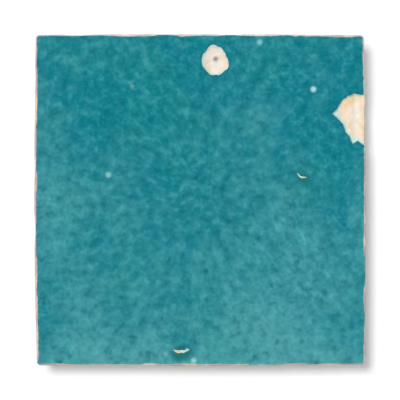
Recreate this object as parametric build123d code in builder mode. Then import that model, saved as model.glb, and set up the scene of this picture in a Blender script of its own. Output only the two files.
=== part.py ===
from build123d import *
from math import cos, pi, radians, sin, sqrt
import os

# Zellige tile: a hand-moulded square of terracotta, glazed on its face and cut to size with a hammer.
# Millimetres. +Z comes out of the glaze, +Y is the top of the face, and the origin is the middle of the back.

# Block
FACE_WIDTH = 100.0  # across X, at the middle of the sides
FACE_LENGTH = 100.0  # across Y, at the middle of the top and bottom
THICKNESS = 12.0  # from the flat back to the highest point of the glaze
LAND = 2.4  # upright band of a side, from the face down to where the undercut starts
UNDERCUT = {"right": 2.6, "top": 3.2, "left": 3.6, "bottom": 2.9}  # how far each side runs in at the back
CORNER_ROUND = 1.1
BACK_CORNER_ROUND = 4.5
ARRIS_ROUND = 0.45  # how the glaze rolls over the edge

# How far the corners of the face fall short of the full width and length, which make it out of square
CORNER_SHORT = {
    "top right": (0.55, 0.25),
    "top left": (0.45, 0.15),
    "bottom left": (0.8, 0.1),
    "bottom right": (0.1, 0.3),
}

# Face
FACE_FALL = 0.45  # how far the face falls from its middle to a corner
FACE_WAVE = 0.16  # height of the slow waves that the moulder's hand leaves
FACE_STEPS = 8  # squares each way in the net of points that the face is drawn through
FACE_OVERHANG = 1.1  # share of the half width and length that the drawn face reaches

# Hammer scars down the undercut sides
SCAR_PITCH = 9.0  # along a side, from one blow to the next
SCAR_ACROSS = 12.0  # width of a shell-shaped scar
SCAR_DEPTH = 0.9
SCAR_HEIGHT = 4.6  # middle of a scar above the back
SCAR_UNEVEN = 0.35  # share by which width, depth and height vary from blow to blow
SCAR_TILT = -15.0  # degrees below level that a scar faces

# Flakes off the arris: side, place as a share of the half side, length along the arris and depth
ARRIS_TILT = 45.0
ARRIS_FLAKES = [
    ("left", -0.57, 15.0, 0.6),
    ("left", -0.12, 5.0, 0.3),
    ("left", 0.18, 7.0, 0.35),
    ("left", 0.70, 8.0, 0.35),
    ("top", 0.78, 8.0, 0.35),
    ("top", 0.45, 12.0, 0.45),
    ("top", 0.05, 9.0, 0.35),
    ("top", -0.36, 11.0, 0.4),
    ("top", -0.80, 7.0, 0.3),
    ("right", -0.25, 6.0, 0.3),
    ("right", 0.87, 5.0, 0.3),
    ("bottom", -0.03, 3.2, 0.35),
    ("bottom", 0.55, 7.0, 0.3),
    ("bottom", -0.62, 6.0, 0.3),
]

# Break in the right-hand arris, down to bare clay
GLAZE_DEPTH = 0.5  # upright step at the rim of a break
CHIP_PLACE = 0.48  # share of the half side, up from the middle
CHIP_DEPTH = 1.6  # at the arris
CHIP_FLOOR_RADIUS = 80.0
CHIP_OVERRUN = 2.0  # how far the cut runs past the side
# Outline, as distance in from the right-hand side and distance up from the chip's place
CHIP_OUTLINE = [
    (-CHIP_OVERRUN, 7.8),
    (3.2, 7.9),
    (5.6, 7.1),
    (7.6, 5.4),
    (8.7, 3.7),
    (9.0, 2.7),
    (10.4, 1.8),
    (7.7, 0.2),
    (6.8, -1.3),
    (5.5, -4.5),
    (3.8, -6.8),
    (2.3, -6.2),
    (0.0, -7.8),
    (-CHIP_OVERRUN, -7.8),
]

# Crater where a grain of lime burst the glaze
CRATER_PLACE = (0.093, 0.846)  # shares of the half width and half length
CRATER_WIDTH = 8.2
CRATER_LENGTH = 9.2
CRATER_DEPTH = 1.1
CRATER_FLOOR = 0.45  # share of the mouth that the floor takes
CRATER_EGG = 0.06  # share of the length by which the widest place lies below the middle
GRAIN_ACROSS = 2.1  # the lime grain, which stands in the floor
GRAIN_PLACE = (0.0, 0.35)  # from the crater's middle

# Oval pits: place as shares of the half width and length, length, width, depth, and turn in degrees
PITS = [
    (-0.106, -0.914, 5.5, 3.4, 0.8, 0.0),
    (0.622, 0.132, 4.2, 2.4, 0.5, -30.0),
]

HALF_WIDTH = FACE_WIDTH / 2
HALF_LENGTH = FACE_LENGTH / 2
SIDE_TURN = {"right": 0, "top": 90, "left": 180, "bottom": 270}  # degrees from +X to the way out of the side
CORNER_SIDES = {
    "top right": (1, "right", 1, "top"),
    "top left": (-1, "left", 1, "top"),
    "bottom left": (-1, "left", -1, "bottom"),
    "bottom right": (1, "right", -1, "bottom"),
}


def face_height(x, y):
    """Height of the glaze: a low crown, less a slow wave that crosses the face at a slant."""
    u = x / HALF_WIDTH
    v = y / HALF_LENGTH
    crown = FACE_FALL * (u**2 + v**2) / 2
    wave = FACE_WAVE * (1 - cos(pi * (1.2 * u + 0.5 * v))) / 2
    return THICKNESS - crown - wave


def face_point(place):
    """The point of the glaze at shares of the half width and half length."""
    x = place[0] * HALF_WIDTH
    y = place[1] * HALF_LENGTH
    return Vector(x, y, face_height(x, y))


def uneven(count):
    """A number between -1 and 1 that is different for each count, for the differences from blow to blow."""
    golden_ratio = (1 + sqrt(5)) / 2
    return 2 * (count * golden_ratio % 1) - 1


def outline(height, inset, corner_round):
    """The tile's outline: a shallow arc along each side, drawn in by an inset, with rounded corners."""
    corners = []
    for name, (x_sign, x_side, y_sign, y_side) in CORNER_SIDES.items():
        short_x, short_y = CORNER_SHORT[name]
        corner_x = x_sign * (HALF_WIDTH - inset[x_side] - short_x)
        corner_y = y_sign * (HALF_LENGTH - inset[y_side] - short_y)
        corners.append((corner_x, corner_y))
    middles = [
        (0, HALF_LENGTH - inset["top"]),
        (-HALF_WIDTH + inset["left"], 0),
        (0, -HALF_LENGTH + inset["bottom"]),
        (HALF_WIDTH - inset["right"], 0),
    ]
    with BuildSketch(Plane.XY.offset(height)) as section:
        with BuildLine():
            for number, middle in enumerate(middles):
                ThreePointArc(corners[number], middle, corners[(number + 1) % len(corners)])
        make_face()
        fillet(section.vertices(), corner_round)
    return section.sketch


def glaze_surface():
    """The glaze as a smooth face through a net of points, reaching a little past the sides."""
    net = []
    for row in range(FACE_STEPS + 1):
        y = HALF_LENGTH * FACE_OVERHANG * (2 * row / FACE_STEPS - 1)
        line = []
        for column in range(FACE_STEPS + 1):
            x = HALF_WIDTH * FACE_OVERHANG * (2 * column / FACE_STEPS - 1)
            line.append((x, y, face_height(x, y)))
        net.append(line)
    return Face.make_surface_from_array_of_points(net, min_deg=3, max_deg=5)


def side_halves(side):
    """Half of the size across the tile at a side, and half of the size along that side."""
    if side in ("right", "left"):
        return HALF_WIDTH, HALF_LENGTH
    return HALF_LENGTH, HALF_WIDTH


def side_point(side, share, height, inset=0):
    """A point on a side, at a share of its half length counter-clockwise from its middle."""
    across, along = side_halves(side)
    return Vector(across - inset, share * along, height).rotate(Axis.Z, SIDE_TURN[side])


def outward(side, tilt):
    """The direction out of a side, tilted up from level."""
    return Vector(cos(radians(tilt)), 0, sin(radians(tilt))).rotate(Axis.Z, SIDE_TURN[side])


def strike_off(side, point, tilt, across, depth):
    """Cut a shell-shaped scar into a side: the cap of a sphere, of this width and depth."""
    radius = (across**2 / 4 + depth**2) / (2 * depth)
    centre = point + outward(side, tilt) * (radius - depth)
    with Locations(Location(centre, (0, 0, SIDE_TURN[side]))):
        Sphere(radius, mode=Mode.SUBTRACT)


def egg(middle, height, share):
    """The crater's outline at a height above its mouth, to a share of full size: two unequal half ellipses."""
    width = CRATER_WIDTH / 2 * share
    below = CRATER_LENGTH * (0.5 - CRATER_EGG) * share
    above = CRATER_LENGTH * (0.5 + CRATER_EGG) * share
    widest = -CRATER_LENGTH * CRATER_EGG
    with BuildSketch(Plane(middle + (0, 0, height))) as section:
        with BuildLine():
            EllipticalCenterArc((0, widest), width, above, start_angle=0, arc_size=180)
            EllipticalCenterArc((0, widest), width, below, start_angle=180, arc_size=180)
        make_face()
    return section.sketch


# Chip, as the piece of clay that broke away: a prism of its outline, over a hollow floor
chip_edge = side_point("right", CHIP_PLACE, THICKNESS)
with BuildPart() as chip:
    with BuildSketch(Plane(chip_edge - (0, 0, 2 * CHIP_DEPTH))):
        with BuildLine():
            Polyline([(-inset, up) for inset, up in CHIP_OUTLINE], close=True)
        make_face()
    extrude(amount=3 * CHIP_DEPTH)
    # The floor falls from the glaze's depth at the tip of the chip to its full depth at the arris
    tip = max(inset for inset, up in CHIP_OUTLINE)
    fall = CHIP_DEPTH - GLAZE_DEPTH
    beyond = CHIP_FLOOR_RADIUS * fall / tip - tip / 2
    above = sqrt(CHIP_FLOOR_RADIUS**2 - beyond**2)
    floor_height = face_height(chip_edge.X, chip_edge.Y) - CHIP_DEPTH
    with Locations((chip_edge.X + beyond, chip_edge.Y, floor_height + above)):
        Sphere(CHIP_FLOOR_RADIUS, mode=Mode.INTERSECT)

# Crater, as the clay that burst away: a cone of egg-shaped section, drawn on as far above its mouth as below
crater_middle = face_point(CRATER_PLACE)
with BuildPart() as crater:
    loft([egg(crater_middle, -CRATER_DEPTH, CRATER_FLOOR), egg(crater_middle, CRATER_DEPTH, 2 - CRATER_FLOOR)])

with BuildPart() as zellige_tile:
    # Undercut sides, with an upright land under the face
    land_foot = THICKNESS - FACE_FALL - LAND
    no_inset = dict.fromkeys(SIDE_TURN, 0)
    loft(
        [
            outline(0, UNDERCUT, BACK_CORNER_ROUND),
            outline(land_foot, no_inset, CORNER_ROUND),
            outline(THICKNESS + FACE_FALL, no_inset, CORNER_ROUND),
        ],
        ruled=True,
    )

    # Waved glaze, rolled over at the arris
    extrude(glaze_surface(), amount=THICKNESS, dir=(0, 0, 1), mode=Mode.SUBTRACT)
    fillet(zellige_tile.faces().sort_by(Axis.Z)[-1].edges(), ARRIS_ROUND)

    # Scars of the hammer, one after another down each side
    blow = 0
    for side in SIDE_TURN:
        blows = round(2 * side_halves(side)[1] / SCAR_PITCH)
        for number in range(blows):
            blow += 1
            share = (2 * number + 1) / blows - 1
            vary = 1 + SCAR_UNEVEN * uneven(blow)
            height = SCAR_HEIGHT * vary
            inset = UNDERCUT[side] * (1 - height / land_foot)
            scarred = side_point(side, share, height, inset)
            strike_off(side, scarred, SCAR_TILT, SCAR_ACROSS * vary, SCAR_DEPTH * vary)

    # Flakes off the arris
    for side, share, length, depth in ARRIS_FLAKES:
        level = side_point(side, share, 0)
        arris = side_point(side, share, face_height(level.X, level.Y))
        strike_off(side, arris, ARRIS_TILT, length, depth)

    # Break, crater with its grain of lime, and pits
    add(chip.part, mode=Mode.SUBTRACT)
    add(crater.part, mode=Mode.SUBTRACT)
    with Locations(crater_middle + (*GRAIN_PLACE, -CRATER_DEPTH)):
        Sphere(GRAIN_ACROSS / 2)
    for x_share, y_share, length, width, depth, turn in PITS:
        pit = scale(Sphere(1, mode=Mode.PRIVATE), by=(length / 2, width / 2, depth), mode=Mode.PRIVATE)
        with Locations(Location(face_point((x_share, y_share)), (0, 0, turn))):
            add(pit, mode=Mode.SUBTRACT)

zellige_tile.part.label = "zellige_tile"
os.makedirs("parts", exist_ok=True)
export_step(zellige_tile.part, "parts/zellige_tile.step")
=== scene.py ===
"""Zellige tile: waved turquoise glaze, hammered clay sides and back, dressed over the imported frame."""
import math

import bpy
import numpy as np
from bpy.props import FloatProperty, FloatVectorProperty, IntProperty, PointerProperty
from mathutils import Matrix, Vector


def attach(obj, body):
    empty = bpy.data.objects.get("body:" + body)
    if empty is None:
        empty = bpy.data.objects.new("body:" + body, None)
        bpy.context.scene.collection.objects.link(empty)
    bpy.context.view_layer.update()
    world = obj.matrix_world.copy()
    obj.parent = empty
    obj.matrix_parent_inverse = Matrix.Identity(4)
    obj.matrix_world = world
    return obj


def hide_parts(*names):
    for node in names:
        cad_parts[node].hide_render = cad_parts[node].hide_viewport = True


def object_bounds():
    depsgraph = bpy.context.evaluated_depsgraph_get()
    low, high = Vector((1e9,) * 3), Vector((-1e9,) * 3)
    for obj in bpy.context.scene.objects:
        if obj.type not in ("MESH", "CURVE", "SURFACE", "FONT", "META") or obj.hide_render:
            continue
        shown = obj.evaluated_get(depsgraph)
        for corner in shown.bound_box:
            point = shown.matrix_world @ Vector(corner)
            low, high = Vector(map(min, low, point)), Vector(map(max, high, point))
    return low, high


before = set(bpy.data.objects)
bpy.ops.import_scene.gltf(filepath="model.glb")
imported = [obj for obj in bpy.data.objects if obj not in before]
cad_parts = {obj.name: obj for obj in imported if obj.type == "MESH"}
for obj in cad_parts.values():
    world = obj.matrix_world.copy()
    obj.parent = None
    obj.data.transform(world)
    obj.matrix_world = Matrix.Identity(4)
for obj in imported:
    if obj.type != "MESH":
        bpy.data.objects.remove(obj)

bl_info = {
    "name": "Zellige tile",
    "version": (1, 0, 0),
    "blender": (4, 5, 0),
    "location": "3D View > Sidebar > Zellige",
    "description": "Builds a hand-cut glazed terracotta tile with its broken edge, lime crater and pits",
    "category": "Object",
}

CAD_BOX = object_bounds()
TILE = "zellige_tile"
PIECE = "glazed_tile"
MM = 0.001
FAR = 9.0  # stands for well outside a break
TINY = 1e-9  # what a divisor is kept above
SMALL = 0.01  # the same for an oval's share and its slope

# Lengths are in millimetres, angles in degrees, and places are shares of the half width and half length.
HALF_WIDTH = 50.0
HALF_LENGTH = 50.0
THICKNESS = 12.0
FACE_FALL = 0.45  # from the middle of the face to its corners
FACE_WAVE = 0.16  # depth of the slow wave across the face
FACE_WAVES = (1.2, 0.5)  # half waves from the middle of the face to its right-hand side and to its top
# How far the corners fall short of the full width and length, which makes the face out of square
CORNER_SHORT = {
    "top right": (0.55, 0.25),
    "top left": (0.45, 0.15),
    "bottom left": (0.8, 0.1),
    "bottom right": (0.1, 0.3),
}
UNDERCUT = {"right": 2.6, "top": 3.2, "left": 3.6, "bottom": 2.9}  # how far each side runs in at the back
CORNER_ROUND = 1.1
BACK_CORNER_ROUND = 4.5
SIDE_TURN = {"right": 0, "top": 90, "left": 180, "bottom": 270}  # from +X to the way out of the side

# Hammer scars down the sides
SCAR_PITCH = 9.0
SCAR_ACROSS = 12.0
SCAR_DEPTH = 0.9
SCAR_HEIGHT = 4.6
SCAR_UNEVEN = 0.35  # share by which size and height vary
SCAR_TILT = -15.0
# Small bites of the hammer between the scars, on each side
BITES = 46
BITE_ACROSS = 4.6
BITE_DEPTH = 0.42
BITE_UNEVEN = 0.5
BITE_HEIGHT = 5.6
BITE_HEIGHT_UNEVEN = 0.8
BITE_INSET = 0.25
BITE_TILT = -10.0
BITE_TILT_UNEVEN = 30.0
# Flakes off the arris: share of the half side counter-clockwise from its middle, length and depth
ARRIS_FLAKES = {
    "left": [(-0.57, 15, 0.6), (-0.12, 5, 0.3), (0.18, 7, 0.35), (0.7, 8, 0.35)],
    "top": [(0.78, 8, 0.35), (0.45, 12, 0.45), (0.05, 9, 0.35), (-0.36, 11, 0.4), (-0.8, 7, 0.3)],
    "right": [(-0.25, 6, 0.3), (0.87, 5, 0.3)],
    "bottom": [(-0.03, 3.2, 0.35), (0.55, 7, 0.3), (-0.62, 6, 0.3)],
}
ARRIS_TILT = 45.0

# The break in the right-hand arris
CHIP_PLACE = 0.48
CHIP_DEPTH = 1.6
CHIP_FLOOR_RADIUS = 80.0
# Its outline: distance in from that side and distance up from the chip's place
CHIP_OUTLINE = [
    (-2.0, 7.8), (3.2, 7.9), (5.6, 7.1), (7.6, 5.4), (8.7, 3.7), (9.0, 2.7), (10.4, 1.8),
    (7.7, 0.2), (6.8, -1.3), (5.5, -4.5), (3.8, -6.8), (2.3, -6.2), (0.0, -7.8), (-2.0, -7.8),
]

# The crater where a grain of lime burst the glaze
CRATER_PLACE = (0.093, 0.846)
CRATER_WIDTH = 8.2
CRATER_LENGTH = 9.2
CRATER_DEPTH = 1.1
CRATER_FLOOR = 0.45  # share of the mouth that the floor takes
CRATER_WALL_POWER = 0.8  # of the wall's fall, below 1 for a steep rim
CRATER_EGG = 0.06  # share of the length by which the widest place lies below the middle
CRATER_LEAN = 0.10  # how far the top leans to the left, for each mm above the widest place
CRATER_POINT = 0.5  # share of the width that is gone at the top
GRAIN_ACROSS = 2.1
GRAIN_PLACE = (0.0, 0.35)
GRAIN_RISE = 0.8  # share of a half ball's height

# Oval pits: place, length, width, depth and turn, then how far off its middle the bare clay lies, the clay's
# length, width and turn, and how far its ends rise
PITS = [
    ((-0.106, -0.914), 5.5, 3.4, 0.8, 0.0, (-0.6, 0.0), 5.1, 0.8, 0.0, 0.75),
    ((0.622, 0.132), 4.2, 2.4, 0.5, -30.0, (-0.5, 0.5), 3.6, 0.6, -28.0, 0.2),
]
PIT_OPEN = 0.6  # share of a pit's depth that the glaze pooled in it leaves open

# Noises in the mesh: cell, layers and seed
MESH_NOISE = {
    "ripple": (9, 3, 11),
    "fray across": (1.6, 3, 21),
    "fray along": (1.6, 3, 31),
    "wear": (5, 3, 41),
    "glaze foot": (2.4, 3, 45),
    "torn": (5, 4, 51),
    "run": (11, 3, 62),
    "arris shade": (6, 3, 71),
    "arris shade patch": (4, 3, 75),
}
# Values of a noise, or of a distance, at which something starts and at which it is full
RAMPS = {
    "chip wall": (-0.05, 0.3),
    "pit wall": (1.1, 0.2),
    "worn by flake": (-0.8, 0.3),
    "run": (0.56, 0.9),
    "fresh break": (-0.5, -0.1),
    "fresh flake": (0.2, 0.5),
    "wide arris shade": (0.3, 0.7),
    "arris shade patch": (0.35, 0.6),
    "no arris shade in flake": (-0.1, 0.2),
    "bare clay": (0.0, 0.5),
    "torn below arris": (0.3, 2.6),
    "foot": (1.5, 0.0),
    "film on side": (0.9, 0.3),
}
FRAY = 1.1  # how wide the noise frays the rims of the breaks
# Share of the worn width that the arris of each side has, and how strongly grey shade is painted below it
SIDE_WEAR_AND_SHADE = {"right": (1.0, 0.9), "top": (1.1, 0.7), "left": (1.3, 0.7), "bottom": (1.0, 0.9)}
WEAR_LEAST = 0.1
WEAR_NOISE = 1.8
WEAR_FLAKE = 0.6
RUN_COVERS = 0.2  # how much of the worn width a run of glaze covers
FLAKE_SLOPE = 1.5  # how much sharper a flake's edge is than a worn one
# Shares of the glaze's depth that it reaches down a side
GLAZE_FOOT_LEAST = 0.4
GLAZE_FOOT_NOISE = 1.2
# How fresh the clay is in a pit and in a flake, against 1 in the chip and the crater
PIT_FRESH = 0.8
FLAKE_FRESH = 0.4
# The painted grey shade below the arris: its width, the share of it that is full, and its faintest patch
SHADE_LEAST = 0.6
SHADE_NOISE = 1.2
SHADE_FULL = 0.3
SHADE_FAINT = 0.55
# Shares of the clay's roughness
ROUGH_ARRIS = 0.15
ROUGH_BREAK = 0.7
ROUGH_BACK = 0.5
ROUGH_FOOT = 0.8

# Where the grid's lines crowd together besides the rim: middle and reach
FINE_ACROSS = [(44.8, 5.8), (5.2, 5.2), (-5.3, 3.2), (31.1, 2.6)]
FINE_ALONG = [(23.8, 8.8), (41.7, 5.8), (-45.7, 2.6), (6.6, 2.0)]
RIM_REACH = 1.3
RIM_SPACING = 0.15
ROW_POWER = 1.15  # crowds the rows of a side towards the rim
CROWD_POWER = 8  # gives a crowd of lines its level middle
GRID_PROBES = 8001

# The map for baking
MAP_SIDE = 160.0
MAP_BACK = 102.0  # where the back starts
MAP_STRIP = 101.0  # foot of the first side's strip
MAP_STEP = 14.0  # from strip to strip
MAP_BACK_SCALE = 0.57

# Soft areas of lighter, greyer glaze, partly thinner glaze and partly painted sheen on the lower third
# and the left: place, half sizes in mm, turn and strength (below 0 the glaze is thick)
PALE_AND_SHEEN_AREAS = [
    ((0.52, -0.72), (22, 17), 0, 0.5),
    ((0.28, -0.86), (13, 12), 0, 0.4),
    ((0.62, -0.25), (10, 17), 25, 0.36),
    ((0.36, 0.5), (7, 6), 0, 0.32),
    ((0.24, 0.15), (8, 11), 0, 0.18),
    ((0.0, -1.0), (70, 8), 0, 0.44),
    ((-0.95, -0.12), (9, 42), 0, 0.36),
    ((-0.74, -0.02), (4.5, 5), 0, 0.22),
    ((-0.7, -0.68), (8, 15), 0, 0.36),
    ((-0.66, -0.9), (8, 6), 0, 0.26),
    ((0.45, 0.2), (9, 13), 0, 0.14),
    ((-0.3, -0.8), (20, 15), 0, 0.3),
    ((-0.5, 0.0), (18, 19), 0, 0.19),
    ((0.96, -0.2), (4, 22), 0, 0.22),
    ((0.0, -0.38), (11, 13), 0, 0.22),
    ((0.3, -0.25), (9, 12), 0, 0.1),
    ((0.22, -0.84), (4.5, 9), 0, 0.22),
    ((0.45, -0.98), (30, 4.5), 0, 0.18),
    ((-0.5, -0.94), (7, 5), 0, 0.16),
    ((-0.76, -0.42), (7, 9), 0, 0.09),
    ((0.07, -0.84), (3.4, 8.5), 0, -0.26),
    ((-0.12, -0.86), (5, 4), 0, -0.34),
    ((0.0, 0.62), (60, 17), 0, -0.06),
    ((-0.36, 0.62), (15, 12), 0, -0.14),
    ((0.8, 0.2), (8, 12), 0, -0.15),
    ((0.76, -0.74), (5, 6), 0, -0.18),
]
PALE_AND_SHEEN_BASE = 0.20
AREA_FADE = 1.2  # how fast an area fades with the square of the share of the way out
# Where copper green shows through
GREEN_AREAS = [
    ((-0.36, 0.6), (24, 16), 0, 0.9),
    ((0.42, 0.8), (16, 9), 0, 0.6),
    ((0.04, -0.62), (8, 16), 10, 0.8),
    ((0.82, 0.22), (8, 16), 0, 0.6),
    ((-0.1, 0.2), (12, 14), 0, 0.4),
]
# Where the glaze ran in steep streaks
STREAK_AREAS = [
    ((0.55, -0.35), (24, 26), 20, 1),
    ((-0.1, -0.75), (20, 12), 0, 0.6),
]
# Where a film of glaze still lies on bare clay: the strength is its width in from the rim
FILM_AREAS = [
    ((0.81, 0.51), (2.6, 2.4), 0, 2.4),
    ((0.88, 0.41), (6, 2.6), -62, 2.3),
    ((0.95, 0.345), (3.4, 2), 0, 2.6),
    ((0.9, 0.62), (7, 3), 35, 1.2),
    ((0.093, 0.846), (7, 7), 0, 0.8),
    ((0.02, 0.83), (1.6, 3.5), 0, 1.3),
    ((0.092, 0.766), (3.2, 1.3), 0, 1.1),
    ((-0.08, -0.905), (0.9, 1), 0, 1.6),
    ((-0.12, -0.905), (3.4, 1.4), 0, 0.4),
    ((0.615, 0.15), (3, 2), 0, 0.9),
    ((0, 1), (60, 1.6), 0, 0.6),
]
# Warmer clay in the breaks (below 0 it is whiter)
WARM_AREAS = [
    ((0.894, 0.588), (3.6, 1.3), 35, 1),
    ((0.985, 0.5), (1, 6.5), 0, 0.7),
    ((0.915, 0.42), (0.7, 4), 10, 0.5),
    ((0.945, 0.5), (1.5, 3.6), 0, -0.75),
    ((0.093, 0.846), (6, 6.5), 0, -0.45),
    ((0.05, 0.8), (1.2, 2.2), 0, 0.6),
    ((-0.13, -0.908), (2.4, 1), 0, 0.4),
]
# The attribute of the mesh for each kind of area
AREAS = {
    "pale": PALE_AND_SHEEN_AREAS,
    "green": GREEN_AREAS,
    "streak": STREAK_AREAS,
    "film": FILM_AREAS,
    "warm": WARM_AREAS,
}
# Spots in the glaze: place in mm, radius, strength and colour
SPOTS = [
    ((34.2, 33.4), 1.8, 0.45, "glaze_dark"),
    ((34.2, 33.4), 0.95, 0.95, "glaze_spot"),
    ((-27.6, 7.6), 0.95, 0.55, "glaze_spot"),
    ((18.0, 47.6), 0.9, 0.5, "glaze_spot"),
    ((-1.9, -48.5), 0.9, 0.65, "glaze_spot"),
    ((-6.6, -47.3), 1.7, 0.85, "glaze_pool"),
    ((-4.3, -47.2), 1.5, 0.75, "glaze_pool"),
    ((-4.0, -45.2), 0.6, 0.9, "glaze_spot"),
    ((-10.4, -46.4), 0.8, 0.2, "glaze_spot"),
    ((8.8, -6.6), 0.9, 0.8, "glaze_dark"),
    ((5.5, -9.8), 0.9, 0.5, "glaze_dark"),
    ((7.3, 3.8), 1.0, 0.5, "glaze_dark"),
    ((8.0, -15.0), 1.3, 0.45, "glaze_dark"),
    ((1.8, -21.4), 0.9, 0.8, "glaze_dark"),
    ((1.8, -30.0), 0.9, 0.5, "glaze_dark"),
    ((29.4, -18.6), 0.8, 0.5, "glaze_dark"),
    ((37.6, -27.7), 1.1, 0.5, "glaze_dark"),
    ((-47.1, -31.1), 0.7, 0.7, "glaze_dark"),
    ((-20.4, 34.3), 0.7, 0.16, "clay_dark_and_shade"),
]
# Shares of a spot's radius to which it is full, and where it is gone
SPOT_FULL = 0.3
SPOT_GONE = 1.4

# Strengths of the noises that vary the lighter glaze with its painted sheen, the warm clay and the edges
PALE_CLOUD = 0.5
PALE_BLOTCH = 0.7
PALE_LESS = 0.35  # taken off after them
WARM_PATCH = 1.6
CLAY_FRAY = 0.3
FILM_FRAY = 0.6
STREAK_TURN = -62.0
STREAK_STRETCH = 2.2  # how many times as long as wide the streaks are
# Distances into bare clay: to the thickest film on it, and of its edges in colour and in roughness
FILM_THICKEST = -0.35
CLAY_EDGE = (0.09, 0.21)
ROUGHNESS_EDGE = (-0.5, 0.1)
FILM_HIDES = 0.95  # how far the thickest film hides the clay
GLAZE_ROUGHNESS = 0.07
CLAY_ROUGHNESS = 0.85
SKIN_HEIGHT = 0.012
GRIT_HEIGHT = 0.32
GLASS_IOR = 1.5
# Numbers of a Mix node's two colours
BELOW = 6
ABOVE = 7

FLOOR_HALF = 3.0  # in metres
BACKDROP_FADE = (0.12, 0.50)  # how steep the way up is where the fade starts and ends


def amount(name, description, default, **limits):
    """A property that holds a number."""
    return FloatProperty(name=name, description=description, default=default, **limits)


def millimetres(name, description, default, least=0.0):
    """A property that holds a length, from its value in millimetres."""
    return amount(name, description, default * MM, min=least * MM, unit="LENGTH", precision=5)


def angle(name, description, default):
    """A property that holds an angle, from its value in degrees."""
    return amount(name, description, math.radians(default), min=0, subtype="ANGLE")


def hex_to_linear(code):
    """Turns an sRGB hex colour into linear red, green and blue."""
    parts = [int(code[place:place + 2], 16) / 255 for place in (1, 3, 5)]
    return [part / 12.92 if part <= 0.04045 else ((part + 0.055) / 1.055) ** 2.4 for part in parts]


def colour(name, description, code):
    """A property that holds a colour, from its sRGB hex code."""
    return FloatVectorProperty(
        name=name, description=description, default=hex_to_linear(code), subtype="COLOR", min=0, max=1,
    )


class ZelligeShape(bpy.types.PropertyGroup):
    """Sizes of the tile's mesh."""

    grid_spacing: millimetres("Grid spacing", "Distance between grid lines on the plain glaze", 0.66, 0.2)
    fine_spacing: millimetres("Fine spacing", "Distance between grid lines across a break", 0.28, 0.1)
    side_rows: IntProperty(name="Side rows", description="Rows of faces down a side", default=24, min=6)
    land: millimetres("Land", "Upright band of a side under the face", 2.4)
    arris_round: millimetres("Arris round", "How the glaze rolls over the edge", 0.45)
    glaze_depth: millimetres("Glaze depth", "Thickness of the glaze", 0.5)
    glaze_ripple: millimetres("Glaze ripple", "Height of the pools and ridges in the glaze", 0.16)
    edge_wear: millimetres("Edge wear", "Width of the worn line along the arris", 0.5)
    glaze_run: millimetres("Glaze run", "How far the glaze runs down a side in places", 3.5)
    clay_roughness: millimetres("Clay roughness", "Depth of the torn grain of broken clay", 0.7)


class ZelligeFinish(bpy.types.PropertyGroup):
    """Colours of the glaze and the clay."""

    glaze_deep: colour("Deep glaze", "Teal where the glaze lies thick", "#067D8B")
    # Partly painted sheen: the pale areas lighten the lower third and the left as a soft reflection would
    glaze_pale_and_sheen: colour("Pale glaze", "Greyish turquoise where the glaze ran thin", "#4C9DA3")
    glaze_green: colour("Green tint", "Copper green that clouds the glaze", "#1E8C84")
    glaze_blue: colour("Blue tint", "Blue that clouds the glaze", "#2585A3")
    glaze_dark: colour("Dark mottle", "Dark grain in the glaze, and its pools", "#066674")
    glaze_light: colour("Light mottle", "Light grain in the glaze", "#68C6CB")
    glaze_pool: colour("Glaze pool", "Bottle green of glaze that filled a pit", "#1C7672")
    glaze_film: colour("Glaze film", "Pale cyan of glaze that is nearly broken through", "#BFEAEC")
    glaze_spot: colour("Glaze spot", "Cyan of a bubble that broke in the glaze", "#A4E6EA")
    clay_fresh: colour("Broken clay", "Cream of clay that was broken after firing", "#FCE8CF")
    clay_peach: colour("Peach clay", "Warmer patches in broken clay", "#FBD8A8")
    clay_white: colour("White clay", "Near-white patches in broken clay", "#FCF3E8")
    # Greyer cream that darkens the whole inside of the crater
    clay_crater_grey: colour("Crater grey", "Chalky grey-cream where burst lime lies in the crater", "#E9E2D4")
    clay_cut: colour("Cut clay", "Beige of the hammered sides and the back", "#F3E2CC")
    # Also painted shade in the hollows of the torn grain
    clay_dark_and_shade: colour("Dark clay", "Browner patches and pores of the sides and the back", "#D9BE9E")
    clay_dust: colour("Clay dust", "Pale dust on the sides and the back", "#FEF5E9")
    # Painted shade: grey along the top of each side below the arris
    arris_shade: colour("Arris shade", "Grey where the arris was rubbed", "#A8A6AA")
    grain: colour("Lime grain", "Grey-green grain in the crater", "#989F8D")


class ZelligeStage(bpy.types.PropertyGroup):
    """Floor, light and camera."""

    floor: colour("Floor", "Pale floor under the tile", "#F1F4F8")
    floor_lift: amount("Floor lift", "Light added to the floor where the camera sees it", 0.09, min=0, max=1)
    sky: amount("Sky", "Strength of the even light from all round", 0.42, min=0)
    overhead: amount("Overhead", "Brightness of the backdrop that the face mirrors", 0.05, min=0, max=1)
    key: amount("Key light", "Strength of the soft light from the upper left", 2.1, min=0)
    key_spread: angle("Key spread", "Angle that the key light fills", 18)
    key_slant: angle("Key slant", "Angle of the key light from straight above", 20)
    key_turn: angle("Key turn", "Turn of the key light about the upright", 45)
    lens: amount("Lens", "Focal length, long so that the face shows square", 200, min=50, unit="CAMERA")
    tile_share: amount("Tile share", "Share of the picture's width that the tile takes", 0.83, min=0.1, max=1)


def face_height(x, y):
    """Height of the glaze: a low crown, less a slow wave that crosses the face at a slant."""
    u = x / HALF_WIDTH
    v = y / HALF_LENGTH
    crown = FACE_FALL * (u**2 + v**2) / 2
    wave = FACE_WAVE * (1 - np.cos(np.pi * (FACE_WAVES[0] * u + FACE_WAVES[1] * v))) / 2
    return THICKNESS - crown - wave


def uneven(count):
    """A number between -1 and 1 for each count: the golden ratio's multiples, less their whole part."""
    return 2 * (count * (1 + math.sqrt(5)) / 2 % 1) - 1


def smooth(low, high, value):
    """Rises from 0 to 1 between two values, level at both ends: 3t² - 2t³."""
    t = np.clip((value - low) / (high - low), 0, 1)
    return t * t * (3 - 2 * t)


def ramp(name, value):
    """How far a value has gone from the start of a ramp to its full end, 0 to 1."""
    return smooth(*RAMPS[name], value)


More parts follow.
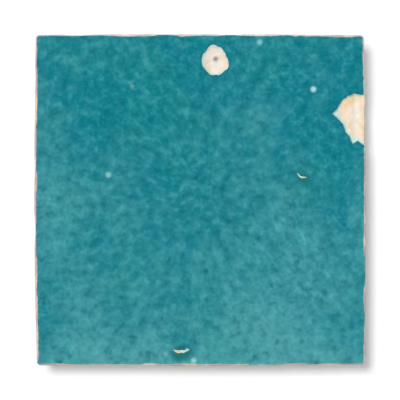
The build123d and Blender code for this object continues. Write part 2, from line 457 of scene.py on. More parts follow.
def lattice_noise(points, cell, seed):
    """Value noise, 0 to 1: random numbers at the corners of cubes, blended smoothly between them."""
    where = points / cell
    where = where - np.floor(where.min(axis=0))
    base = np.floor(where).astype(int)
    share = smooth(0, 1, where - base)
    table = np.random.default_rng(seed).random(base.max(axis=0) + 2)
    total = np.zeros(len(points))
    for corner in np.ndindex(2, 2, 2):
        weight = np.prod(np.where(np.array(corner) == 1, share, 1 - share), axis=1)
        at = base + corner
        total += weight * table[at[:, 0], at[:, 1], at[:, 2]]
    return total


def layered_noise(points, cell, layers, seed):
    """Value noise in layers, each at half the cell and half the strength of the one before, 0 to 1."""
    total = 0
    strength = 0
    for layer in range(layers):
        total = total + lattice_noise(points, cell / 2**layer, seed + layer) / 2**layer
        strength += 1 / 2**layer
    return total / strength


def mesh_noise(name, points):
    """One of the mesh's noises at each point, 0 to 1."""
    return layered_noise(points, *MESH_NOISE[name])


def crowded_lines(half, coarse, fine, places):
    """Grid lines across the face, as shares of its half size: a running count of 1 over the local spacing.

    The lines crowd together at the rim and at each place, and there is an even number of steps.
    """
    probe = np.linspace(-half, half, GRID_PROBES)
    local = np.full(probe.shape, coarse)
    crowds = [(-half, RIM_REACH, RIM_SPACING), (half, RIM_REACH, RIM_SPACING)]
    crowds += [(middle, reach, fine) for middle, reach in places]
    for middle, reach, spacing in crowds:
        nearness = 1 / (1 + ((probe - middle) / reach) ** CROWD_POWER)
        local = np.minimum(local, coarse + (spacing - coarse) * nearness)
    count = np.concatenate([[0], np.cumsum(np.diff(probe) * (1 / local[1:] + 1 / local[:-1]) / 2)])
    lines = np.linspace(0, count[-1], 2 * math.ceil(count[-1] / 2) + 1)
    return np.interp(lines, count, probe) / half


def side_reach(side, half, share, ahead, behind, undercut):
    """How far out a side lies: half size, less undercut, less a parabola to where its corners fall short."""
    return half - UNDERCUT[side] * undercut - share**2 * np.where(share > 0, ahead, behind)


def plan(u, v, undercut):
    """Where a point of the square -1 to 1 lies in plan, at a share of the undercut, and its distance inwards.

    Near a corner the square is scaled towards the corner's centre by its longer step over its length, which
    turns square rings to round ones.
    """
    top_right, top_left, bottom_left, bottom_right = CORNER_SHORT.values()
    right = side_reach("right", HALF_WIDTH, v, top_right[0], bottom_right[0], undercut)
    left = side_reach("left", HALF_WIDTH, v, top_left[0], bottom_left[0], undercut)
    top = side_reach("top", HALF_LENGTH, u, top_right[1], top_left[1], undercut)
    bottom = side_reach("bottom", HALF_LENGTH, u, bottom_right[1], bottom_left[1], undercut)
    x = (right * (1 + u) - left * (1 - u)) / 2
    y = (top * (1 + v) - bottom * (1 - v)) / 2
    edge_x = np.where(u > 0, right, left)
    edge_y = np.where(v > 0, top, bottom)
    edge = np.minimum(edge_x - np.abs(x), edge_y - np.abs(y))
    rounding = CORNER_ROUND + (BACK_CORNER_ROUND - CORNER_ROUND) * undercut
    step_x = np.abs(x) - (edge_x - rounding)
    step_y = np.abs(y) - (edge_y - rounding)
    corner = (step_x > 0) & (step_y > 0)
    pull = np.where(corner, np.maximum(step_x, step_y) / np.maximum(np.hypot(step_x, step_y), TINY), 1)
    x = np.where(corner, np.sign(x) * (np.abs(x) - step_x * (1 - pull)), x)
    y = np.where(corner, np.sign(y) * (np.abs(y) - step_y * (1 - pull)), y)
    return x, y, edge


def outline_distance(x, y, corners):
    """Distance in from a closed outline of straight runs: to the nearest run, signed by ray crossings."""
    nearest = np.full(x.shape, np.inf)
    inside = np.zeros(x.shape, bool)
    for (start_x, start_y), (end_x, end_y) in zip(corners, corners[1:] + corners[:1]):
        run_x = end_x - start_x
        run_y = end_y - start_y
        along = np.clip(((x - start_x) * run_x + (y - start_y) * run_y) / (run_x**2 + run_y**2), 0, 1)
        nearest = np.minimum(nearest, np.hypot(x - start_x - along * run_x, y - start_y - along * run_y))
        if run_y:
            crosses = (start_y > y) != (end_y > y)
            inside ^= crosses & (x < start_x + (y - start_y) / run_y * run_x)
    return np.where(inside, nearest, -nearest)


def egg_distance(x, y):
    """Distance in from the crater's rim: 1 less the share of the way out, times the mean radius.

    The rim is two unequal half ellipses, and the upper one leans and narrows with the square of the way up.
    """
    widest = -CRATER_LENGTH * CRATER_EGG
    half = np.where(y > widest, CRATER_LENGTH * (0.5 + CRATER_EGG), CRATER_LENGTH * (0.5 - CRATER_EGG))
    up = np.clip((y - widest) / half, 0, 1)
    width = CRATER_WIDTH * (1 - CRATER_POINT * up**2)
    share = np.hypot((x + CRATER_LEAN * np.maximum(y - widest, 0)) / (width / 2), (y - widest) / half)
    return (1 - share) * (CRATER_WIDTH + CRATER_LENGTH) / 4


def oval_axes(x, y, place, turn):
    """Distances from an oval's middle, along and across it."""
    away_x = x - place[0] * HALF_WIDTH
    away_y = y - place[1] * HALF_LENGTH
    cos = math.cos(math.radians(turn))
    sin = math.sin(math.radians(turn))
    return away_x * cos + away_y * sin, away_y * cos - away_x * sin


def oval_share(x, y, place, length, width, turn):
    """Distance from an oval's middle, as a share of the way to its rim."""
    along, across = oval_axes(x, y, place, turn)
    return np.hypot(along / (length / 2), across / (width / 2))


def bent_oval_distance(x, y, place, length, width, turn, rise):
    """Distance in from a bent oval's rim: 1 less the share of the way out, over that share's slope.

    The oval's middle line is a parabola whose ends rise.
    """
    along, across = oval_axes(x, y, place, turn)
    along = along / (length / 2)
    across = (across - rise * along**2) / (width / 2)
    share = np.maximum(np.hypot(along, across), SMALL)
    slope = np.hypot(along / (length / 2), across / (width / 2)) / share
    return np.minimum((1 - share) / np.maximum(slope, SMALL), width / 2)


def side_direction(side, tilt):
    """The direction out of a side, tilted up from level."""
    turn = math.radians(SIDE_TURN[side])
    level = math.cos(math.radians(tilt))
    return np.array([math.cos(turn) * level, math.sin(turn) * level, math.sin(math.radians(tilt))])


def side_place(side, share, height, inset):
    """A point on a side, at a share of its half length counter-clockwise from its middle."""
    across, along = (HALF_WIDTH, HALF_LENGTH) if side in ("right", "left") else (HALF_LENGTH, HALF_WIDTH)
    turn = math.radians(SIDE_TURN[side])
    out = across - inset
    on = share * along
    return np.array([
        out * math.cos(turn) - on * math.sin(turn),
        out * math.sin(turn) + on * math.cos(turn),
        height,
    ])


def strike_off(points, side, place, tilt, across, depth):
    """Pushes points out of a sphere whose cap is as wide and deep as the scar, straight in from the side.

    Returns how far inside the sphere each point was, which is below 0 outside it.
    """
    radius = (across**2 / 4 + depth**2) / (2 * depth)
    out = side_direction(side, tilt)
    from_centre = points - (place + out * (radius - depth))
    inside = radius - np.linalg.norm(from_centre, axis=1)
    along = -from_centre @ out
    root = np.sqrt(np.maximum(along**2 - (from_centre**2).sum(axis=1) + radius**2, 0))
    points -= np.where(inside > 0, root - along, 0)[:, None] * out
    return inside


def corner_normals(points, quads):
    """Normal at each point: the sum of its faces' diagonals crossed, brought to length 1."""
    first, second, third, fourth = (points[quads[:, column]] for column in range(4))
    crossed = np.cross(third - first, fourth - second)
    total = np.zeros_like(points)
    for column in range(4):
        for axis in range(3):
            total[:, axis] += np.bincount(quads[:, column], crossed[:, axis], len(points))
    return total / np.maximum(np.linalg.norm(total, axis=1, keepdims=True), TINY)


def grid_quads(index):
    """Faces of a grid of point numbers, each wound along its row first and then on to the next row."""
    corners = [index[:-1, :-1], index[:-1, 1:], index[1:, 1:], index[1:, :-1]]
    return np.stack(corners, axis=-1).reshape(-1, 4)


def tile_grids(shape):
    """Each point's place on the square and share of the way down, and the point numbers of each part's grid.

    The face is a grid, and its rim goes down the sides in rows. The back is a grid of every other line, and a
    band of triangles joins each point of the last row to the nearest one of that grid.
    """
    coarse = shape.grid_spacing / MM
    fine = shape.fine_spacing / MM
    across = crowded_lines(HALF_WIDTH, coarse, fine, FINE_ACROSS)
    along = crowded_lines(HALF_LENGTH, coarse, fine, FINE_ALONG)
    v, u = np.meshgrid(along, across, indexing="ij")
    face = np.arange(u.size).reshape(u.shape)
    rim = np.concatenate([face[0, :-1], face[:-1, -1], face[-1, :0:-1], face[:0:-1, 0]])
    rows = shape.side_rows
    down = (np.arange(1, rows + 1) / rows) ** ROW_POWER
    sides = np.vstack([rim, u.size + np.arange(rows * rim.size).reshape(rows, rim.size)])
    sides = np.hstack([sides, sides[:, :1]])
    every_other = slice(2, -2, 2)
    back_u = u[every_other, every_other]
    back_v = v[every_other, every_other]
    back = u.size + rows * rim.size + np.arange(back_u.size).reshape(back_u.shape)
    row, column = np.divmod(rim, u.shape[1])
    near_row = np.clip(row // 2 - 1, 0, back.shape[0] - 1)
    near_column = np.clip(column // 2 - 1, 0, back.shape[1] - 1)
    near = back[near_row, near_column]
    near_next = np.roll(near, -1)
    foot = sides[-1, :-1]
    foot_next = sides[-1, 1:]
    outer = np.stack([foot_next, foot, near], axis=1)
    inner = np.stack([near, near_next, foot_next], axis=1)[near != near_next]
    band = np.concatenate([outer, inner])
    all_u = np.concatenate([u.ravel(), np.tile(u.ravel()[rim], rows), back_u.ravel()])
    all_v = np.concatenate([v.ravel(), np.tile(v.ravel()[rim], rows), back_v.ravel()])
    all_down = np.concatenate([np.zeros(u.size), np.repeat(down, rim.size), np.ones(back_u.size)])
    return all_u, all_v, all_down, face, sides, back, band


def cut_chip(x, y, z, frayed_x, frayed_y, glaze_depth):
    """The face's height with the chip cut out of it, and how far inside its outline each point is.

    The floor is a hollow ball, at the glaze's depth at the outline's tip and the chip's depth at the arris.
    """
    middle = CHIP_PLACE * HALF_LENGTH
    inside = outline_distance(HALF_WIDTH - frayed_x, frayed_y - middle, CHIP_OUTLINE)
    tip = max(inset for inset, up in CHIP_OUTLINE)
    beyond = CHIP_FLOOR_RADIUS * (CHIP_DEPTH - glaze_depth) / tip - tip / 2
    above = math.sqrt(CHIP_FLOOR_RADIUS**2 - beyond**2)
    bowl = np.sqrt(np.maximum(CHIP_FLOOR_RADIUS**2 - (x - HALF_WIDTH - beyond) ** 2 - (y - middle) ** 2, 0))
    floor = face_height(HALF_WIDTH, middle) - CHIP_DEPTH + above - bowl
    return z - ramp("chip wall", inside) * np.maximum(z - floor, 0), inside


def cut_crater(x, y, z, frayed_x, frayed_y):
    """The face's height with the crater and its grain, and how far inside each of them each point is.

    The wall falls as a power of the way in to a level floor. The grain is half a ball, pressed a little flat.
    """
    middle_x = CRATER_PLACE[0] * HALF_WIDTH
    middle_y = CRATER_PLACE[1] * HALF_LENGTH
    inside = egg_distance(frayed_x - middle_x, frayed_y - middle_y)
    wall = (1 - CRATER_FLOOR) * (CRATER_WIDTH + CRATER_LENGTH) / 4
    z = z - CRATER_DEPTH * np.clip(inside / wall, 0, 1) ** CRATER_WALL_POWER
    radius = GRAIN_ACROSS / 2
    away = np.hypot(x - middle_x - GRAIN_PLACE[0], y - middle_y - GRAIN_PLACE[1])
    z = z + GRAIN_RISE * np.sqrt(np.maximum(radius**2 - away**2, 0))
    return z, inside, radius - away


def sink_pits(x, y, z, frayed_x, frayed_y):
    """The face's height with the pits, and how far inside a pit and its bare clay each point is.

    A pit's wall falls smoothly with the share of the way in.
    """
    pit = np.full(x.size, -FAR)
    crescent = np.full(x.size, -FAR)
    for place, length, width, depth, turn, off, clay_length, clay_width, clay_turn, clay_rise in PITS:
        z = z - PIT_OPEN * depth * ramp("pit wall", oval_share(x, y, place, length, width, turn))
        share = oval_share(frayed_x, frayed_y, place, length, width, turn)
        pit = np.maximum(pit, (1 - share) * width / 2)
        clay = bent_oval_distance(
            frayed_x - off[0], frayed_y - off[1], place, clay_length, clay_width, clay_turn, clay_rise,
        )
        crescent = np.maximum(crescent, clay)
    return z, pit, crescent


def glazed_face(shape, u, v):
    """The face's points, how far each is from the sides, and how far inside each kind of break.

    The waved glaze has ripples and rolls over at the arris in a quarter circle. Noise frays the breaks' rims.
    """
    x, y, edge = plan(u, v, np.zeros(u.size))
    flat = np.stack([x, y, np.zeros(u.size)], axis=1)
    ripple = shape.glaze_ripple / MM * (mesh_noise("ripple", flat) - 1)
    round_off = shape.arris_round / MM
    into_roll = np.clip(round_off - edge, 0, round_off)
    z = face_height(x, y) + ripple - (round_off - np.sqrt(round_off**2 - into_roll**2))
    frayed_x = x + FRAY * (mesh_noise("fray across", flat) - 0.5)
    frayed_y = y + FRAY * (mesh_noise("fray along", flat) - 0.5)
    z, chip = cut_chip(x, y, z, frayed_x, frayed_y, shape.glaze_depth / MM)
    z, crater, grain = cut_crater(x, y, z, frayed_x, frayed_y)
    z, pit, crescent = sink_pits(x, y, z, frayed_x, frayed_y)
    breaks = {"torn out": np.maximum(chip, crater), "grain": grain, "pit": pit, "crescent": crescent}
    return np.stack([x, y, z], axis=1), edge, breaks


def strike_sides(points, side, land_foot):
    """Strikes scars at even steps along each side, then small bites, which leave the face and the back alone.

    Multiples of a blow's count give its height, size and tilt different uneven numbers.
    """
    blow = 0
    for name in SIDE_TURN:
        blows = round(2 * (HALF_LENGTH if name in ("right", "left") else HALF_WIDTH) / SCAR_PITCH)
        for number in range(blows):
            blow += 1
            vary = 1 + SCAR_UNEVEN * uneven(blow)
            height = SCAR_HEIGHT * vary
            inset = UNDERCUT[name] * (1 - height / land_foot)
            place = side_place(name, (2 * number + 1) / blows - 1, height, inset)
            strike_off(points, name, place, SCAR_TILT, SCAR_ACROSS * vary, SCAR_DEPTH * vary)
    side_points = points[side]
    for name in SIDE_TURN:
        for number in range(BITES):
            blow += 1
            height = BITE_HEIGHT * (1 + BITE_HEIGHT_UNEVEN * uneven(3 * blow))
            inset = UNDERCUT[name] * (1 - height / land_foot) + BITE_INSET
            place = side_place(name, (2 * number + 1) / BITES - 1, height, inset)
            vary = 1 + BITE_UNEVEN * uneven(5 * blow)
            tilt = BITE_TILT + BITE_TILT_UNEVEN * uneven(7 * blow)
            strike_off(side_points, name, place, tilt, BITE_ACROSS * vary, BITE_DEPTH * vary)


def strike_arris(points):
    """Strikes the flakes off the arris, and returns how far inside one each point was."""
    flaked = np.full(len(points), -FAR)
    for name, flakes in ARRIS_FLAKES.items():
        for share, length, depth in flakes:
            x, y, _ = side_place(name, share, 0, 0)
            place = side_place(name, share, face_height(x, y), 0)
            flaked = np.maximum(flaked, strike_off(points, name, place, ARRIS_TILT, length, depth))
    return flaked


def towards_side(points, values):
    """The value of the side that each point lies towards, from values for right, top, left and bottom."""
    x = points[:, 0]
    y = points[:, 1]
    return np.select([x > np.abs(y), y > np.abs(x), -x > np.abs(y)], values[:3], values[3])


def clay_fields(shape, points, sunk, on_face, edge, breaks, flaked):
    """How far into bare clay each point is, how fresh that clay is, and the grey shade painted below the
    arris.

    Clay is bare within the worn width of the arris, in a flake or a break, and below the glaze's uneven foot
    and its runs on a side. The painted shade, strongest on the right and bottom, fades out below the arris.
    """
    wears, shades = zip(*SIDE_WEAR_AND_SHADE.values())
    level = points * (1, 1, 0)
    wide = towards_side(points, wears) * (WEAR_LEAST + WEAR_NOISE * mesh_noise("wear", points))
    worn = shape.edge_wear / MM * (wide + WEAR_FLAKE * ramp("worn by flake", flaked)) - edge
    glaze_foot = GLAZE_FOOT_LEAST + GLAZE_FOOT_NOISE * mesh_noise("glaze foot", points)
    run = shape.glaze_run / MM * ramp("run", mesh_noise("run", level))
    unglazed = sunk - shape.glaze_depth / MM * glaze_foot - run
    unglazed[:on_face] = -FAR
    bare = np.maximum(worn - np.minimum(run, RUN_COVERS), unglazed)
    for inside in (flaked * FLAKE_SLOPE, breaks["torn out"], breaks["crescent"]):
        bare = np.maximum(bare, inside)
    fresh = ramp("fresh break", breaks["torn out"])
    fresh = np.maximum(fresh, PIT_FRESH * ramp("fresh break", breaks["crescent"]))
    fresh = np.maximum(fresh, FLAKE_FRESH * ramp("fresh flake", flaked))
    # Painted shade: grey down the top of each side, strongest on the right and bottom, broken into patches
    shade_width = SHADE_LEAST + SHADE_NOISE * ramp("wide arris shade", mesh_noise("arris shade", level))
    shaded = towards_side(points, shades) * smooth(shade_width, SHADE_FULL * shade_width, sunk)
    shaded *= 1 - fresh
    shaded *= 1 - ramp("no arris shade in flake", flaked)
    shaded *= SHADE_FAINT + (1 - SHADE_FAINT) * ramp("arris shade patch", mesh_noise("arris shade patch", level))
    return bare, fresh, shaded


def area_fields(points):
    """Attributes of the areas: the sum of their strengths, each times a bell curve of the way out."""
    fields = {}
    for name, areas in AREAS.items():
        fields[name] = np.zeros(len(points))
        for place, (reach_x, reach_y), turn, strength in areas:
            share = oval_share(points[:, 0], points[:, 1], place, 2 * reach_x, 2 * reach_y, turn)
            fields[name] += strength * np.exp(-AREA_FADE * share**2)
    fields["pale"] += PALE_AND_SHEEN_BASE
    return fields


def tile_mesh(shape):
    """Points, faces, triangles, attributes and bake map of the tile, in millimetres.

    Each column of a side drops from the face's rim to the back, drawn in below the land. Bare clay is pushed
    in along the normals by the square of a ridged noise, and up too at the foot of the sides.
    """
    u, v, down, face, sides, back, band = tile_grids(shape)
    on_face = face.size
    side = slice(on_face, back[0, 0])
    under = slice(back[0, 0], u.size)
    face_points, edge, breaks = glazed_face(shape, u[:on_face], v[:on_face])
    beyond_face = (0, u.size - on_face)
    edge = np.pad(edge, beyond_face)
    breaks = {name: np.pad(inside, beyond_face, constant_values=-FAR) for name, inside in breaks.items()}

    land_foot = THICKNESS - FACE_FALL - shape.land / MM
    height = np.tile(face_points[sides[0, :-1], 2], shape.side_rows) * (1 - down[side])
    side_x, side_y, _ = plan(u[side], v[side], np.clip(1 - height / land_foot, 0, 1))
    back_x, back_y, _ = plan(u[under], v[under], np.ones(back.size))
    side_points = np.stack([side_x, side_y, height], axis=1)
    back_points = np.stack([back_x, back_y, np.zeros(back.size)], axis=1)
    points = np.concatenate([face_points, side_points, back_points])
    strike_sides(points, side, land_foot)
    flaked = strike_arris(points)

    sunk = face_height(points[:, 0], points[:, 1]) - points[:, 2]
    bare, fresh, shaded = clay_fields(shape, points, sunk, on_face, edge, breaks, flaked)
    break_in = np.maximum(breaks["torn out"], breaks["pit"])
    torn = 1 - np.abs(2 * mesh_noise("torn", points) - 1)
    quads = np.concatenate([grid_quads(face), grid_quads(sides)[:, ::-1], grid_quads(back)[:, ::-1]])
    normals = corner_normals(points, quads)
    deepest = ramp("bare clay", bare) * shape.clay_roughness / MM * torn**2
    inward = deepest * (ROUGH_ARRIS + (1 - ROUGH_ARRIS) * ramp("torn below arris", sunk))
    inward[:on_face] = np.where(break_in[:on_face] > 0, ROUGH_BREAK * deepest[:on_face], 0)
    inward[under] *= ROUGH_BACK
    points -= normals * inward[:, None]
    points[side, 2] += ROUGH_FOOT * inward[side] * ramp("foot", height)
    points[under, 2] -= points[under, 2].min()
    points[:, 2] = np.maximum(points[:, 2], 0)

    areas = area_fields(points)
    areas["film"][on_face:] *= ramp("film on side", sunk[on_face:])
    attributes = {"bare": bare, "break_in": break_in, "pool": breaks["pit"], "fresh": fresh}
    attributes |= {"torn": torn, "shaded": shaded, **areas, "grain": breaks["grain"]}
    return points, quads, band, attributes, bake_map(points, face, sides, back, band)


def bake_map(points, face, sides, back, band):
    """A flat place on the map for every corner of every face, as shares of the map's side.

    The face lies at the lower left. Each side is a strip above it, by the distance along its rim and the
    height, and the back lies at the right, at a smaller scale.
    """
    across, along, height = points.T
    face_map = np.stack([across + HALF_WIDTH, along + HALF_LENGTH], axis=1)
    back_map = MAP_BACK_SCALE * face_map + (MAP_BACK, 0)
    rim = points[sides[0]]
    run = np.concatenate([[0], np.cumsum(np.hypot(*np.diff(rim[:, :2], axis=0).T))])
    columns = face.shape[1] - 1
    rows = face.shape[0] - 1
    side_maps = []
    first = 0
    for number, count in enumerate([columns, rows, columns, rows]):
        part = slice(first, first + count + 1)
        out = np.broadcast_to(run[part] - run[first], sides[:, part].shape)
        up = MAP_STRIP + (number + 1) * MAP_STEP - height[sides[:, part]]
        corners = np.stack([out, up], axis=-1).reshape(-1, 2)
        quads = grid_quads(np.arange(out.size).reshape(out.shape))[:, ::-1]
        side_maps.append(corners[quads].reshape(-1, count, 4, 2))
        first += count
    parts = [
        face_map[grid_quads(face)],
        np.concatenate(side_maps, axis=1),
        back_map[grid_quads(back)[:, ::-1]],
        back_map[band],
    ]
    return np.concatenate([part.reshape(-1, 2) for part in parts]) / MAP_SIDE


def make_mesh(name, points, quads, triangles, attributes, flat):
    """Puts points in millimetres, faces, point attributes and the bake map into a new mesh, smooth shaded."""
    mesh = bpy.data.meshes.new(name)
    mesh.vertices.add(len(points))
    mesh.vertices.foreach_set("co", (points * MM).astype(np.float32).ravel())
    loops = np.concatenate([quads.ravel(), triangles.ravel()]).astype(np.int32)
    starts = np.concatenate([np.arange(len(quads)) * 4, quads.size + np.arange(len(triangles)) * 3])
    mesh.loops.add(len(loops))
    mesh.loops.foreach_set("vertex_index", loops)
    mesh.polygons.add(len(starts))
    mesh.polygons.foreach_set("loop_start", starts.astype(np.int32))
    mesh.update(calc_edges=True)
    mesh.shade_smooth()
    for key, values in attributes.items():
        layer = mesh.attributes.new(key, "FLOAT", "POINT")
        layer.data.foreach_set("value", values.astype(np.float32))
    layer = mesh.uv_layers.new(name="OFBake")
    layer.data.foreach_set("uv", flat.astype(np.float32).ravel())
    if mesh.validate(verbose=True):
        raise RuntimeError(f"{name} has faces that Blender had to mend")
    return mesh


def add_node(tree, kind, inputs=None, **settings):
    """Adds a shader node with its settings and inputs: values, sockets, or nodes for their first output."""
    node = tree.nodes.new("ShaderNode" + kind)
    for name, value in settings.items():
        setattr(node, name, value)
    for key, value in (inputs or {}).items():
        if isinstance(value, bpy.types.Node):
            value = next(socket for socket in value.outputs if socket.enabled)
        if isinstance(value, bpy.types.NodeSocket):
            tree.links.new(value, node.inputs[key])
        else:
            node.inputs[key].default_value = value
    return node


def new_tree(owner):
    """An empty node tree for a material or a world."""
    owner.use_nodes = True
    owner.node_tree.nodes.clear()
    return owner.node_tree


def glazed_terracotta(finish):
    """Glazed terracotta, dipped and wood fired: a glassy copper glaze over soft cream clay."""
    material = bpy.data.materials.new("glazed_terracotta")
    tree = new_tree(material)
    place = add_node(tree, "TexCoord").outputs["Object"]
    field = {
        name: add_node(tree, "Attribute", attribute_name=name).outputs["Fac"]
        for name in ("bare", "break_in", "pool", "fresh", "torn", "shaded", *AREAS, "grain")
    }
    streaked_place = add_node(tree, "Mapping", {
        "Vector": place, "Rotation": (0, 0, math.radians(STREAK_TURN)), "Scale": (STREAK_STRETCH, 1, 1),
    }, vector_type="TEXTURE")
    # Each noise: size in mm, layers, roughness, distortion and where it is read. Real grit is about 0.2 mm,
    # too fine to show, so it is drawn coarser.
    sizes = {
        "cloud": (16, 2, 0.5, 0, place),
        "tint": (24, 2, 0.5, 0, place),
        "blotch": (5.5, 2, 0.6, 0, place),
        "mottle": (2.5, 2, 0.5, 0, place),
        "fine": (1.2, 2, 0.6, 0, place),
        "speck": (2.1, 1, 0.5, 0, place),
        "streaks": (2.3, 2, 0.5, 1, streaked_place),
        "patch": (4, 3, 0.6, 0, place),
        "smear": (9, 3, 0.6, 0, place),
        "grit": (0.7, 4, 0.7, 0, place),
        "skin": (2.4, 3, 0.5, 0, place),
    }
    noise = {
        name: add_node(tree, "TexNoise", {
            "Vector": vector, "Scale": 1 / (size * MM), "Detail": layers,
            "Roughness": roughness, "Distortion": distortion,
        })
        for name, (size, layers, roughness, distortion, vector) in sizes.items()
    }

    # Each sum is one noise, times its strength, on top of an attribute or of the sum before
    sums = {}
    for name, source, strength, on in (
        ("frayed", "fine", CLAY_FRAY, "bare"),
        ("cloudy", "cloud", PALE_CLOUD, "pale"),
        ("paler", "blotch", PALE_BLOTCH, "cloudy"),
        ("warm", "patch", WARM_PATCH, "warm"),
        ("into_clay", "fine", -FILM_FRAY, "frayed"),
    ):
        on = sums.get(on, field.get(on))
        sums[name] = add_node(tree, "Math", {0: noise[source], 1: strength, 2: on}, operation="MULTIPLY_ADD")
    paler = add_node(tree, "Math", {0: sums["paler"], 1: PALE_LESS}, operation="SUBTRACT")
    streaked = add_node(tree, "Math", {0: noise["streaks"], 1: 0.5}, operation="SUBTRACT")
    streaked = add_node(tree, "Math", {0: streaked, 1: field["streak"]}, operation="MULTIPLY")

    # Each layer of colour covers those before it, as its source goes from one value to another
    glaze_layers = [
        # Lighter glaze, partly thinner and partly painted sheen
        (paler, 0.25, 1.25, 1.0, finish.glaze_pale_and_sheen),
        (noise["cloud"], 0.50, 0.68, 0.20, finish.glaze_green),
        (noise["tint"], 0.50, 0.68, 0.12, finish.glaze_blue),
        (field["green"], 0.0, 1.0, 0.20, finish.glaze_green),
        (streaked, 0.0, 0.3, 0.40, finish.glaze_light),
        (streaked, 0.0, -0.3, 0.50, finish.glaze_dark),
        (noise["mottle"], 0.47, 0.85, 0.32, finish.glaze_light),
        (noise["mottle"], 0.55, 0.15, 0.74, finish.glaze_dark),
        (noise["fine"], 0.45, 0.85, 0.16, finish.glaze_light),
        (noise["fine"], 0.55, 0.15, 0.28, finish.glaze_dark),
        (noise["speck"], 0.28, 0.18, 0.15, finish.glaze_dark),
        (field["break_in"], -1.3, -0.1, 0.42, finish.glaze_dark),
        (field["pool"], -0.2, 0.3, 0.9, finish.glaze_pool),
    ]
    for (x, y), radius, strength, tint in SPOTS:
        middle = (x * MM, y * MM, face_height(x, y) * MM)
        away = add_node(tree, "VectorMath", {0: place, 1: middle}, operation="DISTANCE")
        reach = radius * MM
        glaze_layers.append((away, SPOT_GONE * reach, SPOT_FULL * reach, strength, getattr(finish, tint)))
    clay_layers = (
        (sums["warm"], 0.8, 1.6, 1.0, finish.clay_peach),
        (sums["warm"], 0.8, 0.3, 1.0, finish.clay_white),
        # Painted shade in the hollows of the torn grain
        (field["torn"], 0.72, 1.0, 0.30, finish.clay_dark_and_shade),
        # Greyer cream over the inside of the crater
        (field["grain"], -5.0, -3.8, 0.55, finish.clay_crater_grey),
        (field["grain"], -0.3, 0.6, 1.0, finish.grain),
    )
    cut_layers = (
        (noise["smear"], 0.50, 0.72, 0.6, finish.clay_dark_and_shade),
        # Painted shade in the hollows of the torn grain, and lighter clay on its raised parts
        (field["torn"], 0.70, 1.0, 0.55, finish.clay_dark_and_shade),
        (field["torn"], 0.70, 0.2, 0.6, finish.clay_dust),
        (noise["grit"], 0.49, 0.66, 0.6, finish.clay_dust),
        (noise["grit"], 0.46, 0.32, 0.65, finish.clay_dark_and_shade),
        (noise["speck"], 0.26, 0.20, 0.7, finish.clay_dark_and_shade),
        # Painted shade below the arris
        (field["shaded"], 0.0, 1.0, 0.9, finish.arris_shade),
    )
    colours = []
    for first, layers in (
        (finish.glaze_deep, glaze_layers),
        (finish.clay_fresh, clay_layers),
        (finish.clay_cut, cut_layers),
    ):
        shade = (*first, 1)
        for source, low, high, most, tint in layers:
            share = add_node(tree, "MapRange", {
                "Value": source, "From Min": low, "From Max": high, "To Max": most,
            }, interpolation_type="SMOOTHSTEP")
            tint = (*tint, 1)
            shade = add_node(tree, "Mix", {"Factor": share, BELOW: shade, ABOVE: tint}, data_type="RGBA")
        colours.append(shade)
    glaze, broken, cut = colours

    # How far the film hides the clay, and how far clay and its dry roughness take over from glassy glaze
    cover = {}
    for name, source, low, high, start, end in (
        ("film", sums["into_clay"], field["film"], FILM_THICKEST, 0.0, FILM_HIDES),
        ("clay", sums["frayed"], *CLAY_EDGE, 0.0, 1.0),
        ("rough", sums["frayed"], *ROUGHNESS_EDGE, GLAZE_ROUGHNESS, CLAY_ROUGHNESS),
    ):
        cover[name] = add_node(tree, "MapRange", {
            "Value": source, "From Min": low, "From Max": high, "To Min": start, "To Max": end,
        }, interpolation_type="SMOOTHSTEP")
    film = (*finish.glaze_film, 1)
    shade = cut
    for share, over in ((field["fresh"], broken), (cover["film"], film)):
        shade = add_node(tree, "Mix", {"Factor": share, BELOW: shade, ABOVE: over}, data_type="RGBA")
    shade = add_node(tree, "Mix", {"Factor": cover["clay"], BELOW: glaze, ABOVE: shade}, data_type="RGBA")

    # The glaze has an orange-peel skin, the clay sharp grit
    grit = add_node(tree, "Math", {0: noise["grit"], 1: cover["clay"]}, operation="MULTIPLY")
    grit = add_node(tree, "Math", {0: grit, 1: GRIT_HEIGHT}, operation="MULTIPLY")
    height = add_node(tree, "Math", {0: noise["skin"], 1: SKIN_HEIGHT, 2: grit}, operation="MULTIPLY_ADD")
    bump = add_node(tree, "Bump", {"Height": height, "Distance": MM})
    shader = add_node(tree, "BsdfPrincipled", {
        "Base Color": shade, "Roughness": cover["rough"], "IOR": GLASS_IOR, "Normal": bump,
    })
    add_node(tree, "OutputMaterial", {"Surface": shader})
    return material


def seen_directly(tree):
    """1 for rays that show the background: from the camera, or mirrored or passed on by the object."""
    path = add_node(tree, "LightPath")
    shown = path.outputs["Is Camera Ray"]
    for kind in ("Is Glossy Ray", "Is Transmission Ray"):
        shown = add_node(tree, "Math", {0: shown, 1: path.outputs[kind]}, operation="MAXIMUM")
    return shown


def matt_paper(name, colour_value, lift):
    """Matt paint or paper: even, without gloss, and lifted where it shows as the background."""
    material = bpy.data.materials.new(name)
    tree = new_tree(material)
    diffuse = add_node(tree, "BsdfDiffuse", {"Color": (*colour_value, 1)})
    glow = add_node(tree, "Emission", {"Color": (1, 1, 1, 1), "Strength": lift})
    both = add_node(tree, "AddShader", {0: diffuse, 1: glow})
    seen = add_node(tree, "MixShader", {0: seen_directly(tree), 1: diffuse, 2: both})
    add_node(tree, "OutputMaterial", {"Surface": seen})
    return material


def flat_sheet(name, half, height, material):
    """A level square with the given material, put into the scene."""
    mesh = bpy.data.meshes.new(name)
    corners = [(-half, -half, height), (half, -half, height), (half, half, height), (-half, half, height)]
    mesh.from_pydata(corners, [], [(0, 1, 2, 3)])
    mesh.materials.append(material)
    sheet = bpy.data.objects.new(name, mesh)
    bpy.context.scene.collection.objects.link(sheet)


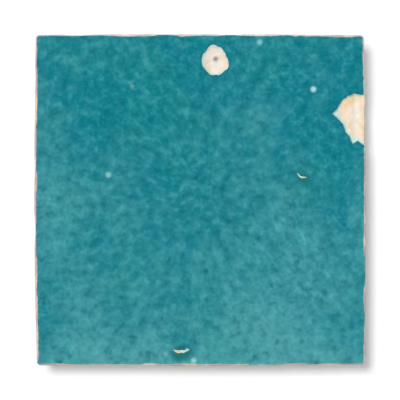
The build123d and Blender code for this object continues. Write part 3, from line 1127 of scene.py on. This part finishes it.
class OBJECT_OT_zellige_tile(bpy.types.Operator):
    """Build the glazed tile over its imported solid"""

    bl_idname = "object.zellige_tile"
    bl_label = "Zellige tile"

    def execute(self, context):
        scene = context.scene
        mesh = make_mesh(PIECE, *tile_mesh(scene.zellige_shape))
        mesh.materials.append(glazed_terracotta(scene.zellige_finish))
        tile = bpy.data.objects.new(PIECE, mesh)
        scene.collection.objects.link(tile)
        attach(tile, "root")
        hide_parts(TILE)
        return {"FINISHED"}


class SCENE_OT_zellige_stage(bpy.types.Operator):
    """Build the floor, the light and the camera that looks straight down on the tile"""

    bl_idname = "scene.zellige_stage"
    bl_label = "Zellige stage"

    def execute(self, context):
        scene = context.scene
        stage = scene.zellige_stage
        low, high = CAD_BOX
        flat_sheet("floor", FLOOR_HALF, 0.0, matt_paper("matt_white_paper", stage.floor, stage.floor_lift))
        data = bpy.data.lights.new("key_light", "SUN")
        data.energy = stage.key
        data.angle = stage.key_spread
        key = bpy.data.objects.new("key_light", data)
        key.rotation_euler = (-stage.key_slant, 0, stage.key_turn)
        # The glaze mirrors the backdrop and not the lamp, as under a polarising filter
        key.visible_glossy = False
        scene.collection.objects.link(key)

        # The backdrop is white at eye level and darkens overhead; the light that it gives is even
        world = bpy.data.worlds.new("studio_backdrop")
        tree = new_tree(world)
        light = add_node(tree, "Background", {"Color": (1, 1, 1, 1), "Strength": stage.sky})
        direction = add_node(tree, "TexCoord").outputs["Generated"]
        upward = add_node(tree, "SeparateXYZ", {0: direction}).outputs["Z"]
        bright = add_node(tree, "MapRange", {
            "Value": upward, "From Min": BACKDROP_FADE[0], "From Max": BACKDROP_FADE[1],
            "To Min": 1.0, "To Max": stage.overhead,
        })
        white = add_node(tree, "Background", {"Color": (1, 1, 1, 1), "Strength": bright})
        seen = add_node(tree, "MixShader", {0: seen_directly(tree), 1: light, 2: white})
        add_node(tree, "OutputWorld", {"Surface": seen})
        scene.world = world

        data = bpy.data.cameras.new("overhead_camera")
        data.lens = stage.lens
        frame_width = (high.x - low.x) / stage.tile_share
        camera = bpy.data.objects.new("overhead_camera", data)
        camera.location = (0, 0, high.z + frame_width * data.lens / data.sensor_width)
        scene.collection.objects.link(camera)
        scene.camera = camera
        scene.view_settings.view_transform = "Standard"
        return {"FINISHED"}


class VIEW3D_PT_zellige(bpy.types.Panel):
    """Settings and buttons for the tile"""

    bl_label = "Zellige"
    bl_space_type = "VIEW_3D"
    bl_region_type = "UI"
    bl_category = "Zellige"

    def draw(self, context):
        scene = context.scene
        for group in (scene.zellige_shape, scene.zellige_finish, scene.zellige_stage):
            box = self.layout.box()
            for name in group.bl_rna.properties.keys():
                if name not in ("rna_type", "name"):
                    box.prop(group, name)
        self.layout.operator(OBJECT_OT_zellige_tile.bl_idname)
        self.layout.operator(SCENE_OT_zellige_stage.bl_idname)


CLASSES = (
    ZelligeShape,
    ZelligeFinish,
    ZelligeStage,
    OBJECT_OT_zellige_tile,
    SCENE_OT_zellige_stage,
    VIEW3D_PT_zellige,
)


def register():
    """Registers the classes and the scene's three groups of settings."""
    for cls in CLASSES:
        bpy.utils.register_class(cls)
    bpy.types.Scene.zellige_shape = PointerProperty(type=ZelligeShape)
    bpy.types.Scene.zellige_finish = PointerProperty(type=ZelligeFinish)
    bpy.types.Scene.zellige_stage = PointerProperty(type=ZelligeStage)


def unregister():
    """Takes back all that register() did."""
    del bpy.types.Scene.zellige_shape
    del bpy.types.Scene.zellige_finish
    del bpy.types.Scene.zellige_stage
    for cls in reversed(CLASSES):
        bpy.utils.unregister_class(cls)


def main():
    """Builds the tile and the stage."""
    register()
    bpy.ops.object.zellige_tile()
    bpy.ops.scene.zellige_stage()


if __name__ == "__main__":
    main()
